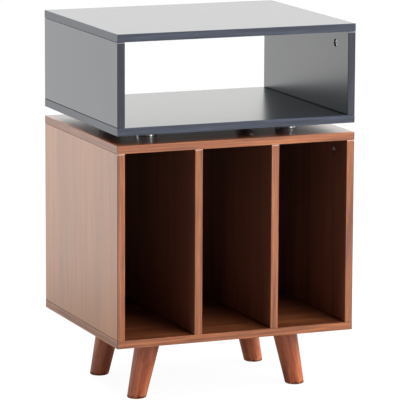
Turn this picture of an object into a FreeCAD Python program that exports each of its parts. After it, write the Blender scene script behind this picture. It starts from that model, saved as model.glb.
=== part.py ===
import FreeCAD, Part
import Sketcher

import math
import os
import re

# Hi-fi stand: a record cabinet on four splayed legs carries an open shelf box on four round spacers.
# Millimetres. The origin is on the floor under the middle of the stand, +X right, +Y to the back, +Z up.

SIZES = (
    # Outside sizes
    ("width", 480, "both boxes, side to side"),
    ("depth", 400, "both boxes, front to back"),
    ("leg_height", 121, "floor to the underside of the cabinet"),
    ("cabinet_height", 383, "record cabinet, underside to top"),
    ("spacer_height", 18, "open gap between the boxes"),
    ("shelf_height", 189, "shelf box, underside to top"),
    # Boards
    ("board", 15, "thickness of every panel"),
    ("shelf_seam", 0.5, "gap left at each end of a shelf side"),
    ("cabinet_seam", 0.3, "gap left at each end of a cabinet side or divider"),
    ("edging", 1, "thickness of the strips on the cut edges"),
    ("edging_round", 0.7, "radius of their outer arrises"),
    ("back_thickness", 3, "back panel"),
    ("back_inset", 12, "back panel in from the back edges"),
    ("groove_depth", 6, "groove that holds the back panel"),
    ("groove_play", 0.2, "room on each side of the back panel in its groove"),
    # Room round fasteners
    ("bore_play", 0.1, "room all round a fastener in its bore"),
    ("end_play", 0.5, "room past the end of a fastener"),
    ("cut_overrun", 2, "how far a cut runs past the piece it cuts"),
    # Cam locks, in the side panels under each top panel
    ("cam_diameter", 15, "cam"),
    ("cam_length", 10.6, "cam, along its own axis"),
    ("cam_sink", 2, "cam's face below the panel's face"),
    ("cam_setback", 58, "cam's axis from the front or back edge"),
    ("cam_drop", 28, "cam's axis below the top panel"),
    ("cam_slot_width", 1.7, "cross slot in the cam's face"),
    ("cam_slot_span", 9, "cross slot, end to end"),
    ("cam_slot_depth", 1.2, "cross slot"),
    # Cam bolts, screwed into the top panels
    ("cam_bolt_head", 7, "head diameter"),
    ("cam_bolt_head_length", 5, "head, along the bolt"),
    ("cam_bolt_neck", 4.4, "neck diameter"),
    ("cam_bolt_shank", 6, "shank diameter"),
    ("cam_bolt_thread", 5, "thread's core diameter"),
    ("cam_bolt_grip", 10, "thread's length in the top panel"),
    ("cam_bolt_bore", 8, "bore along the side panel that the bolt passes"),
    # Wooden dowels
    ("dowel_diameter", 8, "dowel"),
    ("dowel_length", 29, "dowel"),
    ("dowel_arris", 0.5, "chamfer at both ends"),
    ("dowel_in_face", 10, "length that enters the face of a panel"),
    ("dowel_setback", 95, "dowel's axis from the front or back edge"),
    # Assembly screws, up through the bottom panels
    ("screw_setback", 50, "screw's axis from the front or back edge"),
    ("screw_length", 50, "screw, with its head"),
    ("screw_head", 10, "head diameter"),
    ("screw_head_height", 3.5, "head, sunk into the bottom panel"),
    ("screw_neck", 7, "neck diameter, through the bottom panel"),
    ("screw_core", 5, "thread's core diameter"),
    ("screw_socket", 4, "hexagon socket, across its corners"),
    ("screw_socket_depth", 2, "hexagon socket"),
    # Spacers and their screws
    ("spacer_diameter", 42, "spacer"),
    ("spacer_arris", 0.8, "chamfer at both ends of a spacer"),
    ("spacer_inset_side", 96, "spacer's axis from the side of the stand"),
    ("spacer_inset_front", 104, "spacer's axis from the front or back"),
    ("spacer_screw", 5, "screw through the spacer"),
    ("spacer_screw_head", 10, "head diameter"),
    ("spacer_screw_head_height", 3, "head, under the cabinet's top panel"),
    ("spacer_screw_grip", 11, "length that enters the shelf box"),
    # Legs
    ("leg_inset_side", 101, "leg's axis from the side, at the cabinet's underside"),
    ("leg_inset_front", 98, "leg's axis from the front or back"),
    ("leg_splay", 12, "degrees, outwards to the side"),
    ("leg_top_diameter", 47.5, "leg at its mounting plate"),
    ("leg_foot_diameter", 36, "leg at the floor"),
    ("leg_foot_round", 3, "radius round the foot"),
    ("leg_top_round", 1, "radius round the top"),
    ("pad_diameter", 24, "rubber pad under the foot"),
    ("pad_height", 1, "rubber pad"),
    # Leg plates, hanger bolts and plate screws
    ("plate_span", 62, "plate's flange, square"),
    ("plate_thickness", 2, "plate's flange"),
    ("plate_corner", 8, "radius of the flange's corners"),
    ("boss_diameter", 32, "slanted seat in the middle of the plate"),
    ("boss_drop", 10, "seat below the cabinet, along the leg"),
    ("hanger_diameter", 8, "bolt that joins leg and plate"),
    ("hanger_in_leg", 30, "length that enters the leg"),
    ("hanger_short", 1.5, "bolt's upper end below the cabinet, along the leg"),
    ("plate_screw_span", 46, "screw to screw"),
    ("plate_screw", 4, "screw"),
    ("plate_screw_head", 7.5, "head diameter"),
    ("plate_screw_head_height", 2.4, "head"),
    ("plate_screw_grip", 12, "length that enters the cabinet"),
)

ALIASES = {alias for alias, value, note in SIZES}

doc = FreeCAD.newDocument("hifi_stand")
sheet = doc.addObject("Spreadsheet::Sheet", "Sizes")
for row, (alias, value, note) in enumerate(SIZES, 1):
    sheet.set(f"A{row}", alias)
    sheet.set(f"B{row}", str(value))
    sheet.set(f"C{row}", note)
    sheet.setAlias(f"B{row}", alias)
doc.recompute()

# Places, from the middle of the stand and up from the floor
CABINET_BASE = "leg_height"
CABINET_TOP_PANEL = "leg_height + cabinet_height - board"
SHELF_BASE = "leg_height + cabinet_height + spacer_height"
SHELF_TOP_PANEL = f"{SHELF_BASE} + shelf_height - board"
CABINET_UPRIGHT = "cabinet_height - 2 * board - 2 * cabinet_seam"
SHELF_UPRIGHT = "shelf_height - 2 * board - 2 * shelf_seam"
SIDE_MIDDLE = "width / 2 - board / 2"
DIVIDER_MIDDLE = "(width - 4 * board) / 6 + board / 2"
BACK_REAR = "depth / 2 - back_inset"
BACK_FRONT = f"{BACK_REAR} - back_thickness"
CAM_Y = "depth / 2 - cam_setback"
DOWEL_Y = "depth / 2 - dowel_setback"
SCREW_Y = "depth / 2 - screw_setback"
SPACER_X = "width / 2 - spacer_inset_side"
SPACER_Y = "depth / 2 - spacer_inset_front"
LEG_X = "width / 2 - leg_inset_side"
LEG_Y = "depth / 2 - leg_inset_front"

# Bores, from the fasteners that they hold
CAM_BORE_DEPTH = "cam_sink + cam_length + end_play / 2"
DOWEL_BORE = "dowel_diameter + 2 * bore_play"
DOWEL_FACE_BORE_DEPTH = "dowel_in_face + end_play"
DOWEL_EDGE_BORE_DEPTH = "dowel_length - dowel_in_face + end_play"
SCREW_BORE = "screw_core + 2 * bore_play"
SCREW_EDGE_BORE_DEPTH = "screw_length - board + end_play"

LEFT_RIGHT = FreeCAD.Vector(1, 0, 0)
FRONT_BACK = FreeCAD.Vector(0, 1, 0)

HEAD_CROWN_SHARE = 0.7  # flat part of a raised screw head, of its diameter
SOCKET_CORNERS = 6
SAME_PLACE = 1e-6  # places nearer than this are one

nodes = {}


def qualified(text):
    """The expression with each size's name written as a cell of the sheet."""
    return re.sub(r"[a-z_]+", lambda word: f"Sizes.{word[0]}" if word[0] in ALIASES else word[0], text)


def bind(thing, target, text):
    """Ties a property of the model to the sheet."""
    thing.setExpression(target, qualified(text))


def four_corners(x, y):
    """The same place in each quarter of the stand."""
    return [(f"{a}({x})", f"{b}({y})") for a in ("-", "") for b in ("-", "")]


def new_body(name, x="0", y="0", z="0"):
    """An empty body whose own origin is at that place."""
    body = doc.addObject("PartDesign::Body", name)
    body.Label = name
    for axis, place in zip("xyz", (x, y, z)):
        bind(body, f"Placement.Base.{axis}", place)
    return body


def new_sketch(body, role, level="0"):
    """A sketch on one of the body's origin planes, moved along the plane's normal."""
    plane = next(feature for feature in body.Origin.OriginFeatures if feature.Role == role)
    sketch = body.newObject("Sketcher::SketchObject", f"{body.Name}_sketch")
    sketch.AttachmentSupport = [(plane, "")]
    sketch.MapMode = "FlatFace"
    bind(sketch, "AttachmentOffset.Base.z", level)
    return sketch


def fix_point(sketch, geometry, point, x, y):
    """Dimensions one point of a sketch from its origin."""
    for kind, place in (("DistanceX", x), ("DistanceY", y)):
        number = sketch.addConstraint(Sketcher.Constraint(kind, -1, 1, geometry, point, 1.0))
        bind(sketch, f"Constraints[{number}]", place)


def draw_outline(sketch, corners):
    """A closed outline of straight lines through the corners."""
    count = len(corners)
    turns = [2 * math.pi * k / count for k in range(count)]
    start = [FreeCAD.Vector(math.cos(turn), math.sin(turn), 0) for turn in turns]
    for k in range(count):
        sketch.addGeometry(Part.LineSegment(start[k], start[(k + 1) % count]), False)
    for k in range(count):
        sketch.addConstraint(Sketcher.Constraint("Coincident", k, 2, (k + 1) % count, 1))
    for k, (x, y) in enumerate(corners):
        fix_point(sketch, k, 1, x, y)


def draw_rectangle(sketch, left, low, right, high):
    """A rectangle between two corners."""
    draw_outline(sketch, [(left, low), (right, low), (right, high), (left, high)])


def draw_circles(sketch, centres, diameter):
    """Circles of one diameter."""
    for x, y in centres:
        circle = Part.Circle(FreeCAD.Vector(1, 1, 0), FreeCAD.Vector(0, 0, 1), 1)
        number = sketch.addGeometry(circle, False)
        fix_point(sketch, number, 3, x, y)
        size = sketch.addConstraint(Sketcher.Constraint("Diameter", number, 1.0))
        bind(sketch, f"Constraints[{size}]", diameter)


def grow(body, sketch, length, both_ways=False):
    """A pad along the sketch's normal."""
    pad = body.newObject("PartDesign::Pad", f"{body.Name}_pad")
    pad.Profile = sketch
    pad.SideType = "Symmetric" if both_ways else "One side"
    bind(pad, "Length", length)
    doc.recompute()
    return pad


def cut(body, sketch, depth, along_normal=False, both_ways=False):
    """A pocket against the sketch's normal, or along it. It has to take material away."""
    before = body.Shape.Volume
    pocket = body.newObject("PartDesign::Pocket", f"{body.Name}_pocket")
    pocket.Profile = sketch
    pocket.SideType = "Symmetric" if both_ways else "One side"
    pocket.Reversed = along_normal
    bind(pocket, "Length", depth)
    doc.recompute()
    if not body.Shape.Volume < before:
        raise RuntimeError(f"{pocket.Name} cuts nothing")
    return pocket


def bore(body, role, level, centres, diameter, depth, along_normal=False):
    """Round bores that start at one level."""
    sketch = new_sketch(body, role, level)
    draw_circles(sketch, centres, diameter)
    return cut(body, sketch, depth, along_normal)


def turn(body, profile):
    """A turned piece: the profile's corners are radius and height round the body's own Z axis."""
    sketch = new_sketch(body, "XZ_Plane")
    draw_outline(sketch, profile)
    turned = body.newObject("PartDesign::Revolution", f"{body.Name}_turned")
    turned.Profile = sketch
    turned.ReferenceAxis = (sketch, ["V_Axis"])
    doc.recompute()
    return turned


def dress(body, kind, size, chosen):
    """A fillet or chamfer on the edges whose shape the test accepts."""
    base = body.Tip
    edges = [f"Edge{k}" for k, edge in enumerate(base.Shape.Edges, 1) if chosen(edge)]
    dressed = body.newObject(f"PartDesign::{kind}", f"{body.Name}_{kind.lower()}")
    dressed.Base = (base, edges)
    bind(dressed, "Radius" if kind == "Fillet" else "Size", size)
    doc.recompute()
    return dressed


def mirrored(name, source, across):
    """The same piece on the other side of the stand."""
    copy = doc.addObject("Part::Mirroring", name)
    copy.Label = name
    copy.Source = source
    copy.Normal = across
    return copy


def together(name, pieces):
    """Separate solids kept as one node."""
    group = doc.addObject("Part::Compound", name)
    group.Label = name
    group.Links = pieces
    return group


def quarters(source):
    """A piece made at the front left, with its copies in the other quarters."""
    right = mirrored(f"{source.Name}_right", source, LEFT_RIGHT)
    back = mirrored(f"{source.Name}_back", source, FRONT_BACK)
    back_right = mirrored(f"{source.Name}_back_right", back, LEFT_RIGHT)
    return [source, right, back, back_right]


def keep(piece, name=None):
    """Marks a finished piece as a node of the stand."""
    nodes[name or piece.Label] = piece
    return piece


def keep_corners(kind, source):
    """Keeps the four copies of a corner piece as nodes of their own."""
    copies = quarters(source)
    for place, copy in zip(("front_left", "front_right", "back_left", "back_right"), copies):
        copy.Label = f"{kind}_{place}"
        keep(copy)


# Panels and their edging


def flat_panel(name, z):
    """A level panel, less the edging all round. Its own origin is in the middle of its underside."""
    body = new_body(name, z=z)
    sketch = new_sketch(body, "XY_Plane")
    x, y = "width / 2 - edging", "depth / 2 - edging"
    draw_rectangle(sketch, f"-({x})", f"-({y})", x, y)
    grow(body, sketch, "board")
    return keep(body)


def flat_panel_edging(name, z):
    """Two long strips, front and back, and two short ones between them on the ends."""
    front = new_body(f"{name}_front_strip", z=z)
    sketch = new_sketch(front, "YZ_Plane")
    draw_rectangle(sketch, "-depth / 2", "0", "-depth / 2 + edging", "board")
    grow(front, sketch, "width", both_ways=True)
    edge_line = front.Tip.Shape.BoundBox.YMin
    dress(front, "Fillet", "edging_round", lambda edge: is_level_arris(edge, "YMax", edge_line))
    keep(together(f"{name}_long_edging", [front, mirrored(f"{name}_back_strip", front, FRONT_BACK)]))

    left = new_body(f"{name}_left_strip", z=z)
    sketch = new_sketch(left, "XZ_Plane")
    draw_rectangle(sketch, "-width / 2", "0", "-width / 2 + edging", "board")
    grow(left, sketch, "depth - 2 * edging", both_ways=True)
    edge_line = left.Tip.Shape.BoundBox.XMin
    dress(left, "Fillet", "edging_round", lambda edge: is_level_arris(edge, "XMax", edge_line))
    keep(together(f"{name}_end_edging", [left, mirrored(f"{name}_right_strip", left, LEFT_RIGHT)]))


def is_level_arris(edge, bound, line):
    """Whether a level edge lies wholly on the outer face."""
    return edge.BoundBox.ZLength < SAME_PLACE and abs(getattr(edge.BoundBox, bound) - line) < SAME_PLACE


def is_upright(edge):
    """Whether an edge runs straight up."""
    return edge.BoundBox.XLength < SAME_PLACE and edge.BoundBox.YLength < SAME_PLACE


def upright_panel(name, x, z, height, rear):
    """An upright panel, less the edging. Its own origin is at its foot, in the middle of its thickness."""
    body = new_body(name, x=x, z=z)
    sketch = new_sketch(body, "XY_Plane")
    draw_rectangle(sketch, "-board / 2", "-(depth / 2 - edging)", "board / 2", rear)
    grow(body, sketch, height)
    return body


def upright_strip(name, x, z, height):
    """The front edging strip of an upright panel."""
    body = new_body(name, x=x, z=z)
    sketch = new_sketch(body, "XY_Plane")
    draw_rectangle(sketch, "-board / 2", "-depth / 2", "board / 2", "-depth / 2 + edging")
    grow(body, sketch, height)
    edge_line = body.Tip.Shape.BoundBox.YMin
    dress(body, "Fillet", "edging_round",
          lambda edge: is_upright(edge) and abs(edge.BoundBox.YMax - edge_line) < SAME_PLACE)
    return body


def bore_upright_ends(body, height, seam=None):
    """Dowel bores in both ends, screw bores in the foot and, given a seam, cam bores near the top."""
    dowels = [("0", f"-({DOWEL_Y})"), ("0", DOWEL_Y)]
    screws = [("0", f"-({SCREW_Y})"), ("0", SCREW_Y)]
    bore(body, "XY_Plane", height, dowels, DOWEL_BORE, DOWEL_EDGE_BORE_DEPTH)
    bore(body, "XY_Plane", "0", dowels, DOWEL_BORE, DOWEL_EDGE_BORE_DEPTH, along_normal=True)
    bore(body, "XY_Plane", "0", screws, SCREW_BORE, SCREW_EDGE_BORE_DEPTH, along_normal=True)
    if seam:
        axis = f"{height} + {seam} - cam_drop"
        cams = [(f"-({CAM_Y})", axis), (CAM_Y, axis)]
        bolts = [("0", f"-({CAM_Y})"), ("0", CAM_Y)]
        bore(body, "YZ_Plane", "board / 2", cams, "cam_diameter + 2 * bore_play", CAM_BORE_DEPTH)
        bore(body, "XY_Plane", height, bolts, "cam_bolt_bore", f"cam_drop - {seam}")


def side_panels(box, z, height, seam, groove):
    """The left side of a box with its edging, and the right side as its mirror image."""
    x = f"-({SIDE_MIDDLE})"
    left = upright_panel(f"{box}_left_side", x, z, height, "depth / 2 - edging")
    bore_upright_ends(left, height, seam)
    if groove:
        sketch = new_sketch(left, "XY_Plane", height)
        draw_rectangle(sketch, "board / 2 - groove_depth", f"{BACK_FRONT} - groove_play",
                       "board / 2 + cut_overrun", f"{BACK_REAR} + groove_play")
        cut(left, sketch, height)
    keep(left)
    keep(mirrored(f"{box}_right_side", left, LEFT_RIGHT))
    strip = upright_strip(f"{box}_left_front_strip", x, z, height)
    strips = together(f"{box}_left_edging", [strip, mirrored(f"{box}_left_back_strip", strip, FRONT_BACK)])
    keep(strips)
    keep(mirrored(f"{box}_right_edging", strips, LEFT_RIGHT))


def cut_back_groove(body, level, upwards):
    """The stopped groove for the back panel, in a level panel."""
    end = "width / 2 - board + groove_depth"
    sketch = new_sketch(body, "XY_Plane", level)
    draw_rectangle(sketch, f"-({end})", f"{BACK_FRONT} - groove_play", end, f"{BACK_REAR} + groove_play")
    cut(body, sketch, "groove_depth", along_normal=upwards)


def make_shelf_box():
    """The open box: top, bottom and two sides."""
    foot = f"{SHELF_BASE} + board + shelf_seam"
    side_panels("shelf", foot, SHELF_UPRIGHT, "shelf_seam", groove=False)

    top = flat_panel("shelf_top_panel", SHELF_TOP_PANEL)
    bore(top, "XY_Plane", "0", four_corners(SIDE_MIDDLE, CAM_Y), "cam_bolt_thread + 2 * bore_play",
         "cam_bolt_grip + end_play", along_normal=True)
    bore(top, "XY_Plane", "0", four_corners(SIDE_MIDDLE, DOWEL_Y), DOWEL_BORE,
         DOWEL_FACE_BORE_DEPTH, along_normal=True)
    flat_panel_edging("shelf_top", SHELF_TOP_PANEL)

    bottom = flat_panel("shelf_bottom_panel", SHELF_BASE)
    bore(bottom, "XY_Plane", "board", four_corners(SIDE_MIDDLE, DOWEL_Y), DOWEL_BORE, DOWEL_FACE_BORE_DEPTH)
    bore_for_screws(bottom, four_corners(SIDE_MIDDLE, SCREW_Y))
    bore(bottom, "XY_Plane", "0", four_corners(SPACER_X, SPACER_Y), "spacer_screw + 2 * bore_play",
         "spacer_screw_grip + end_play", along_normal=True)
    flat_panel_edging("shelf_bottom", SHELF_BASE)


def bore_for_screws(body, centres):
    """Clearance holes through a bottom panel, with sunk seats for the heads."""
    bore(body, "XY_Plane", "0", centres, "screw_neck + 2 * bore_play", "board", along_normal=True)
    bore(body, "XY_Plane", "0", centres, "screw_head + 2 * bore_play", "screw_head_height", along_normal=True)


def make_cabinet():
    """The record cabinet: top, bottom, two sides, two dividers and the back."""
    foot = f"{CABINET_BASE} + board + cabinet_seam"
    side_panels("cabinet", foot, CABINET_UPRIGHT, "cabinet_seam", groove=True)

    x = f"-({DIVIDER_MIDDLE})"
    divider = upright_panel("left_divider", x, foot, CABINET_UPRIGHT, f"{BACK_FRONT} - groove_play")
    bore_upright_ends(divider, CABINET_UPRIGHT)
    keep(divider)
    keep(mirrored("right_divider", divider, LEFT_RIGHT))
    strip = upright_strip("left_divider_edging", x, foot, CABINET_UPRIGHT)
    keep(strip)
    keep(mirrored("right_divider_edging", strip, LEFT_RIGHT))

    side_joints = four_corners(SIDE_MIDDLE, DOWEL_Y)
    all_joints = side_joints + four_corners(DIVIDER_MIDDLE, DOWEL_Y)

    top = flat_panel("cabinet_top_panel", CABINET_TOP_PANEL)
    bore(top, "XY_Plane", "0", four_corners(SIDE_MIDDLE, CAM_Y), "cam_bolt_thread + 2 * bore_play",
         "cam_bolt_grip + end_play", along_normal=True)
    bore(top, "XY_Plane", "0", all_joints, DOWEL_BORE, DOWEL_FACE_BORE_DEPTH, along_normal=True)
    bore(top, "XY_Plane", "0", four_corners(SPACER_X, SPACER_Y), "spacer_screw + 2 * bore_play",
         "board", along_normal=True)
    cut_back_groove(top, "0", upwards=True)
    flat_panel_edging("cabinet_top", CABINET_TOP_PANEL)

    bottom = flat_panel("cabinet_bottom_panel", CABINET_BASE)
    bore(bottom, "XY_Plane", "board", all_joints, DOWEL_BORE, DOWEL_FACE_BORE_DEPTH)
    bore_for_screws(bottom, four_corners(SIDE_MIDDLE, SCREW_Y) + four_corners(DIVIDER_MIDDLE, SCREW_Y))
    for across in ("-", "+"):
        for along in ("-", "+"):
            place = (f"{LEG_X} {across} plate_screw_span / 2", f"{LEG_Y} {along} plate_screw_span / 2")
            bore(bottom, "XY_Plane", "0", four_corners(*place), "plate_screw + 2 * bore_play",
                 "plate_screw_grip + end_play", along_normal=True)
    cut_back_groove(bottom, "board", upwards=False)
    flat_panel_edging("cabinet_bottom", CABINET_BASE)

    back = new_body("back_panel", y=BACK_REAR, z=f"{CABINET_BASE} + board - groove_depth + end_play")
    sketch = new_sketch(back, "XZ_Plane")
    half = "width / 2 - board + groove_depth - end_play"
    high = "cabinet_height - 2 * board + 2 * groove_depth - 2 * end_play"
    draw_rectangle(sketch, f"-({half})", "0", half, high)
    grow(back, sketch, "back_thickness")
    keep(back)


# Fasteners


def make_cam_locks(box, joint):
    """Cams in the side panels and the bolts that they pull down. Joint is the underside of the top panel."""
    height = f"{joint} - cam_drop"
    cam = new_body(f"{box}_cam", x=f"-({SIDE_MIDDLE})", y=f"-({CAM_Y})", z=height)
    face = "board / 2 - cam_sink"
    sketch = new_sketch(cam, "YZ_Plane", f"{face} - cam_length")
    draw_circles(sketch, [("0", "0")], "cam_diameter")
    grow(cam, sketch, "cam_length")
    bore(cam, "XY_Plane", "-(cam_bolt_head_length / 2 + bore_play)", [("0", "0")],
         "cam_bolt_head + 2 * bore_play", "cam_diameter", along_normal=True)
    sketch = new_sketch(cam, "YZ_Plane", face)
    a, b = "cam_slot_span / 2", "cam_slot_width / 2"
    quarter = [(a, b), (b, b), (b, a)]
    cross = (quarter
             + [(f"-{x}", y) for x, y in reversed(quarter)]
             + [(f"-{x}", f"-{y}") for x, y in quarter]
             + [(x, f"-{y}") for x, y in reversed(quarter)])
    draw_outline(sketch, cross)
    cut(cam, sketch, "cam_slot_depth")
    keep(together(f"{box}_cams", quarters(cam)))

    bolt = new_body(f"{box}_cam_bolt", x=f"-({SIDE_MIDDLE})", y=f"-({CAM_Y})", z=height)
    head, neck = "cam_bolt_head / 2", "cam_bolt_neck / 2"
    shank, thread = "cam_bolt_shank / 2", "cam_bolt_thread / 2"
    low, high = "-cam_bolt_head_length / 2", "cam_bolt_head_length / 2"
    rim, end = "cam_diameter / 2", "cam_drop + cam_bolt_grip"
    turn(bolt, [("0", low), (head, low), (head, high), (neck, high), (neck, rim), (shank, rim),
                (shank, "cam_drop"), (thread, "cam_drop"), (thread, end), ("0", end)])
    keep(together(f"{box}_cam_bolts", quarters(bolt)))


def make_dowel(name, x, z):
    """A dowel at the front left, with its lower end at that height, and its three copies."""
    dowel = new_body(name, x=f"-({x})", y=f"-({DOWEL_Y})", z=z)
    radius = "dowel_diameter / 2"
    end_radius = f"{radius} - dowel_arris"
    turn(dowel, [("0", "0"), (end_radius, "0"), (radius, "dowel_arris"),
                 (radius, "dowel_length - dowel_arris"), (end_radius, "dowel_length"), ("0", "dowel_length")])
    return quarters(dowel)


def make_dowels(box, base, top_joint, across):
    """Dowels in the joints above and below each upright."""
    dowels = []
    for k, x in enumerate(across):
        dowels += make_dowel(f"{box}_low_dowel_{k}", x, f"{base} + board - dowel_in_face")
        dowels += make_dowel(f"{box}_high_dowel_{k}", x, f"{top_joint} + dowel_in_face - dowel_length")
    keep(together(f"{box}_dowels", dowels))


def make_assembly_screws(box, base, across):
    """Long screws up through the bottom panel into each upright."""
    screws = []
    for k, x in enumerate(across):
        screw = new_body(f"{box}_screw_{k}", x=f"-({x})", y=f"-({SCREW_Y})", z=base)
        head, neck, core = "screw_head / 2", "screw_neck / 2", "screw_core / 2"
        turn(screw, [("0", "0"), (head, "0"), (head, "screw_head_height"), (neck, "screw_head_height"),
                     (neck, "board"), (core, "board"), (core, "screw_length - screw_core"),
                     ("0", "screw_length")])
        sketch = new_sketch(screw, "XY_Plane")
        rim = "screw_socket / 2"
        bearings = [360 * n / SOCKET_CORNERS for n in range(SOCKET_CORNERS)]
        draw_outline(sketch, [(f"{rim} * cos({bearing})", f"{rim} * sin({bearing})") for bearing in bearings])
        cut(screw, sketch, "screw_socket_depth", along_normal=True)
        screws += quarters(screw)
    keep(together(f"{box}_screws", screws))


def make_spacers():
    """Four tubes between the boxes, and the screw through each."""
    top = f"{CABINET_TOP_PANEL} + board"
    spacer = new_body("spacer", x=f"-({SPACER_X})", y=f"-({SPACER_Y})", z=top)
    outer, inner = "spacer_diameter / 2", "spacer_screw / 2 + bore_play"
    turn(spacer, [(inner, "0"), (outer, "0"), (outer, "spacer_height"), (inner, "spacer_height")])
    dress(spacer, "Chamfer", "spacer_arris", lambda edge: is_rim(edge, spacer.Tip.Shape.BoundBox.XLength))
    keep_corners("spacer", spacer)

    screw = new_body("spacer_screw", x=f"-({SPACER_X})", y=f"-({SPACER_Y})", z=CABINET_TOP_PANEL)
    turn_screw(screw, "spacer_screw", "board + spacer_height + spacer_screw_grip")
    keep(together("spacer_screws", quarters(screw)))


def turn_screw(body, size, length):
    """A pointed screw that stands on its raised head, with the head's upper face at the body's origin."""
    head, radius, low = f"{size}_head / 2", f"{size} / 2", f"-{size}_head_height"
    turn(body, [("0", low), (f"{head} * {HEAD_CROWN_SHARE}", low), (head, f"{low} / 2"), (head, "0"),
                (radius, "0"), (radius, f"{length} - {size}"), ("0", length)])


def is_rim(edge, span):
    """Whether an edge is a whole circle of that width."""
    return edge.BoundBox.ZLength < SAME_PLACE and abs(edge.BoundBox.XLength - span) < SAME_PLACE


# Legs


def make_legs():
    """Turned legs, their rubber pads, plates, hanger bolts and plate screws."""
    corner = {"x": f"-({LEG_X})", "y": f"-({LEG_Y})", "z": CABINET_BASE}
    reach = "(leg_height - pad_height) / cos(leg_splay)"
    blank_end = f"{reach} + leg_foot_diameter / 2 * tan(leg_splay) + cut_overrun"

    leg = new_body("leg", **corner)
    lean(leg)
    turn(leg, [("0", "-boss_drop"), ("leg_top_diameter / 2", "-boss_drop"),
               ("leg_foot_diameter / 2", f"-({blank_end})"), ("0", f"-({blank_end})")])
    sketch = new_sketch(leg, "XZ_Plane")
    wide, rise = "leg_top_diameter", "leg_top_diameter * tan(leg_splay)"
    below = f"-({blank_end}) - {rise}"
    draw_outline(sketch, [(f"-{wide}", below), (wide, below), (wide, f"-{reach} + {rise}"),
                          (f"-{wide}", f"-{reach} - {rise}")])
    cut(leg, sketch, f"2 * {wide}", both_ways=True)
    dress_rim(leg, "leg_foot_round", min)
    dress_rim(leg, "leg_top_round", max)
    bore(leg, "XY_Plane", "-boss_drop", [("0", "0")], "hanger_diameter + 2 * bore_play",
         "hanger_in_leg + end_play")
    keep_corners("leg", leg)

    pad = new_body("foot_pad", x=f"-({LEG_X}) - (leg_height - pad_height) * tan(leg_splay)", y=f"-({LEG_Y})")
    sketch = new_sketch(pad, "XY_Plane")
    draw_circles(sketch, [("0", "0")], "pad_diameter")
    grow(pad, sketch, "pad_height")
    keep_corners("foot_pad", pad)

    plate = new_body("leg_plate", **corner)
    sketch = new_sketch(plate, "XY_Plane", "-plate_thickness")
    draw_rectangle(sketch, "-plate_span / 2", "-plate_span / 2", "plate_span / 2", "plate_span / 2")
    grow(plate, sketch, "plate_thickness")
    dress(plate, "Fillet", "plate_corner", is_upright)
    seat = slanted_sketch(plate)
    draw_circles(seat, [("0", "0")], "boss_diameter")
    grow(plate, seat, "boss_drop + boss_diameter * tan(leg_splay)")
    sketch = new_sketch(plate, "XY_Plane")
    draw_rectangle(sketch, "-boss_diameter", "-boss_diameter", "boss_diameter", "boss_diameter")
    cut(plate, sketch, "boss_diameter", along_normal=True)
    hole = slanted_sketch(plate)
    draw_circles(hole, [("0", "0")], "hanger_diameter + 2 * bore_play")
    cut(plate, hole, "2 * boss_drop", along_normal=True)
    bore(plate, "XY_Plane", "0", four_corners("plate_screw_span / 2", "plate_screw_span / 2"),
         "plate_screw + 2 * bore_play", "plate_thickness")
    keep_corners("leg_plate", plate)

    hanger = new_body("hanger_bolt", **corner)
    lean(hanger)
    radius, foot = "hanger_diameter / 2", "-boss_drop - hanger_in_leg"
    turn(hanger, [("0", foot), (radius, f"{foot} + {radius}"), (radius, "-hanger_short"),
                  ("0", "-hanger_short")])
    keep(together("leg_bolts", quarters(hanger)))

    screws = []
    for k, (across, along) in enumerate((a, b) for a in ("-", "+") for b in ("-", "+")):
        screw = new_body(f"plate_screw_{k}", x=f"-({LEG_X}) {across} plate_screw_span / 2",
                         y=f"-({LEG_Y}) {along} plate_screw_span / 2", z=f"{CABINET_BASE} - plate_thickness")
        turn_screw(screw, "plate_screw", "plate_thickness + plate_screw_grip")
        screws += quarters(screw)
    keep(together("leg_plate_screws", screws))


def lean(body):
    """Tips a body about its own Y axis, so that its lower end is further out to the left."""
    body.Placement = FreeCAD.Placement(body.Placement.Base, FreeCAD.Rotation(FRONT_BACK, 1))
    bind(body, "Placement.Rotation.Angle", "leg_splay")


def slanted_sketch(body):
    """A sketch square to the leg's axis, at the seat for the leg's top."""
    sketch = new_sketch(body, "XY_Plane", "-boss_drop * cos(leg_splay)")
    sketch.AttachmentOffset = FreeCAD.Placement(FreeCAD.Vector(), FreeCAD.Rotation(FRONT_BACK, 1))
    bind(sketch, "AttachmentOffset.Base.x", "-boss_drop * sin(leg_splay)")
    bind(sketch, "AttachmentOffset.Rotation.Angle", "leg_splay")
    return sketch


def dress_rim(body, size, lowest_or_highest):
    """A fillet round one end of a turned piece."""
    rims = [edge for edge in body.Tip.Shape.Edges if edge.isClosed()]
    chosen = lowest_or_highest(rims, key=lambda edge: edge.CenterOfMass.z)
    dress(body, "Fillet", size, chosen.isSame)


make_shelf_box()
make_cabinet()
make_cam_locks("shelf", SHELF_TOP_PANEL)
make_cam_locks("cabinet", CABINET_TOP_PANEL)
make_dowels("shelf", SHELF_BASE, SHELF_TOP_PANEL, [SIDE_MIDDLE])
make_dowels("cabinet", CABINET_BASE, CABINET_TOP_PANEL, [SIDE_MIDDLE, DIVIDER_MIDDLE])
make_assembly_screws("shelf", SHELF_BASE, [SIDE_MIDDLE])
make_assembly_screws("cabinet", CABINET_BASE, [SIDE_MIDDLE, DIVIDER_MIDDLE])
make_spacers()
make_legs()

# Every feature has to be sound before a piece is written
doc.recompute()
for feature in doc.Objects:
    if {"Invalid", "Error"} & set(feature.State):
        raise RuntimeError(f"{feature.Label} failed: {feature.State}")
for name, piece in nodes.items():
    if piece.Shape.isNull() or not piece.Shape.isValid() or not piece.Shape.Solids:
        raise RuntimeError(f"{name} has no sound solid")

os.makedirs("parts", exist_ok=True)
for name, piece in nodes.items():
    piece.Shape.exportStep(f"parts/{name}.step")
    print(f"{name}: {len(piece.Shape.Solids)} solids, {piece.Shape.Volume:.0f} mm3")
print(f"{len(nodes)} nodes")
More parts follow.
